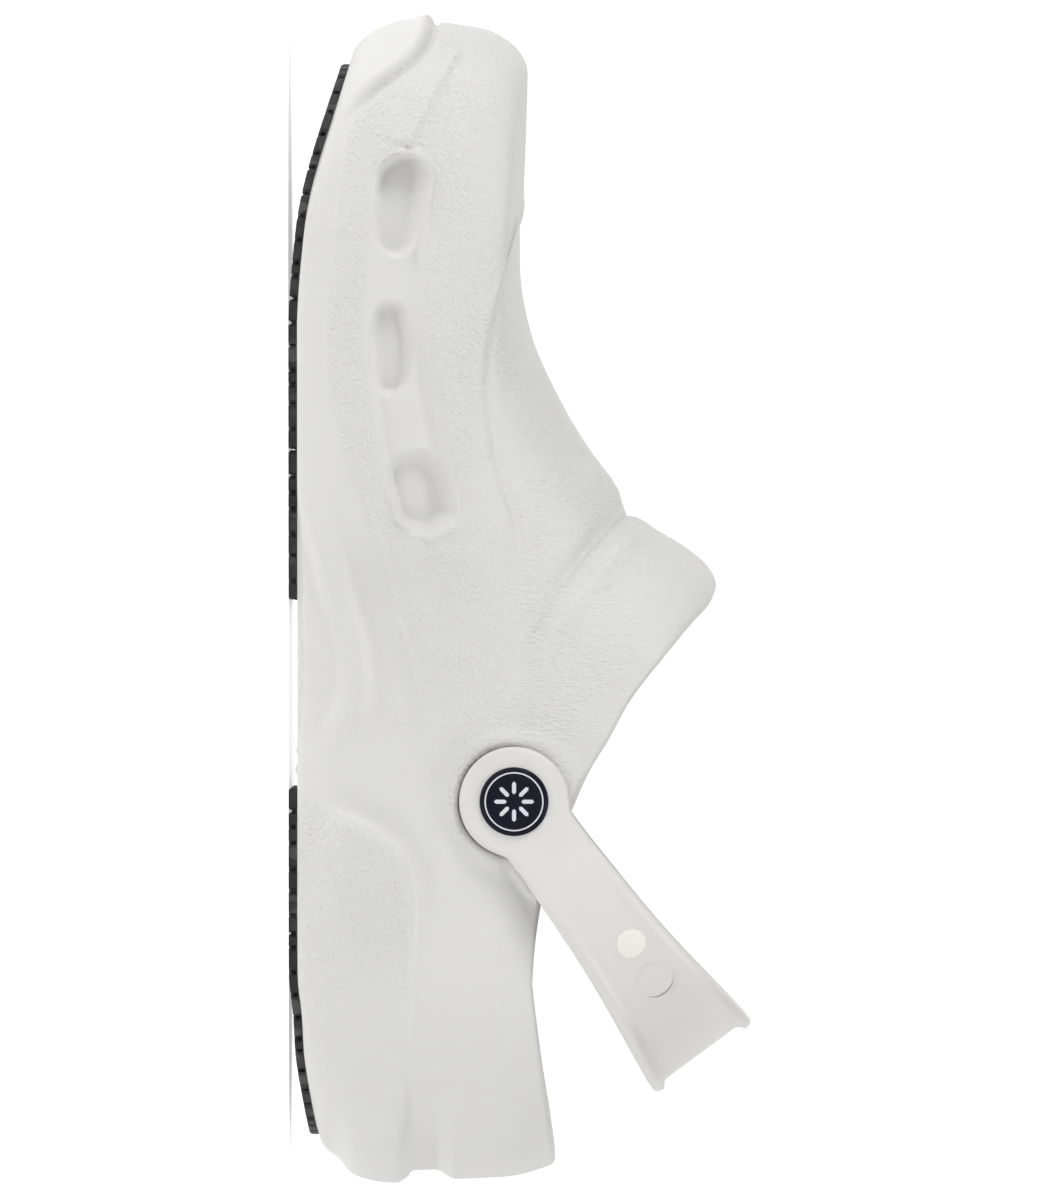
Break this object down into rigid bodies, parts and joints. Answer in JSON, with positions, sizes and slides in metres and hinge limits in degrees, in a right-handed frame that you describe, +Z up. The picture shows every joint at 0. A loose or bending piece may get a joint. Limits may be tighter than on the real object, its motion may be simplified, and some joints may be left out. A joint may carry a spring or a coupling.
{
  "type": "work clog",
  "caption": "Moulded foam work clog for the right foot, closed toe, high collar, heel strap on rivets and rubber tread pods.",
  "frame": {"origin": "floor level under the middle of the shoe's length and width", "axes": "+Z up, toe towards -Y, heel towards +Y, inner side of the foot towards +X"},
  "size_m": [0.1153, 0.2899, 0.115],
  "materials": {
    "white_foam": "white closed-cell moulded foam, satin, fine moulded leather grain",
    "strap_foam": "slightly warmer white moulded foam, smooth satin",
    "tread_rubber": "black slip-resistant rubber, matt",
    "rivet_plastic": "white moulded plastic",
    "button_plastic": "blue-black plastic with a glossy bevelled rim"
  },
  "bodies": {
    "root": {"clog_body": "white_foam", "outsole_forefoot": "tread_rubber", "outsole_heel": "tread_rubber", "heel_strap": "strap_foam", "rivet_inner": "rivet_plastic", "rivet_outer": "rivet_plastic", "button_inner": "button_plastic", "button_outer": "button_plastic"}
  },
  "joints": []
}
